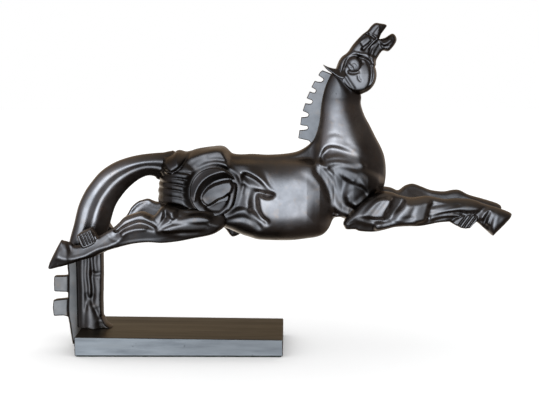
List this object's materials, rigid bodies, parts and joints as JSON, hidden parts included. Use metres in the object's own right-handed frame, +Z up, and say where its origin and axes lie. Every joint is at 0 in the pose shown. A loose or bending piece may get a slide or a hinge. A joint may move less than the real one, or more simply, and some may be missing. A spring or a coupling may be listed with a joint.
{
  "type": "horse statue",
  "caption": "Modernist cast bronze of a horse in a flat leap, held up by its arched tail above a rectangular plinth, for a desk or mantel.",
  "frame": {"origin": "centre of the felt pad's underside, on the surface the statue stands on", "axes": "+X the way the horse leaps, from tail to head; +Y its left side; +Z up"},
  "size_m": [0.581, 0.12, 0.4131],
  "materials": {
    "bronze": "satin",
    "bronze_plate": "satin",
    "bronze_plinth": "satin",
    "bronze_pin": "satin",
    "steel": "satin",
    "felt": "matte"
  },
  "bodies": {
    "root": {"felt_pad": "felt", "plinth": "bronze_plinth", "column_studs": "steel", "stud_washers": "steel", "stud_nuts": "steel", "blade_screws": "steel", "tail_column": "bronze", "tail_blade": "bronze", "tail_arch": "bronze", "tail_pin": "bronze_pin", "hindquarters": "bronze", "haunch_scroll_right": "bronze", "haunch_scroll_left": "bronze", "barrel": "bronze", "chest": "bronze", "neck": "bronze", "head": "bronze", "head_pin": "bronze_pin", "ear_right": "bronze", "ear_left": "bronze", "mane_crest": "bronze_plate", "leg_pins": "bronze_pin", "hind_leg_right": "bronze", "hind_leg_left": "bronze", "foreleg_right": "bronze", "foreleg_left": "bronze"}
  },
  "joints": []
}
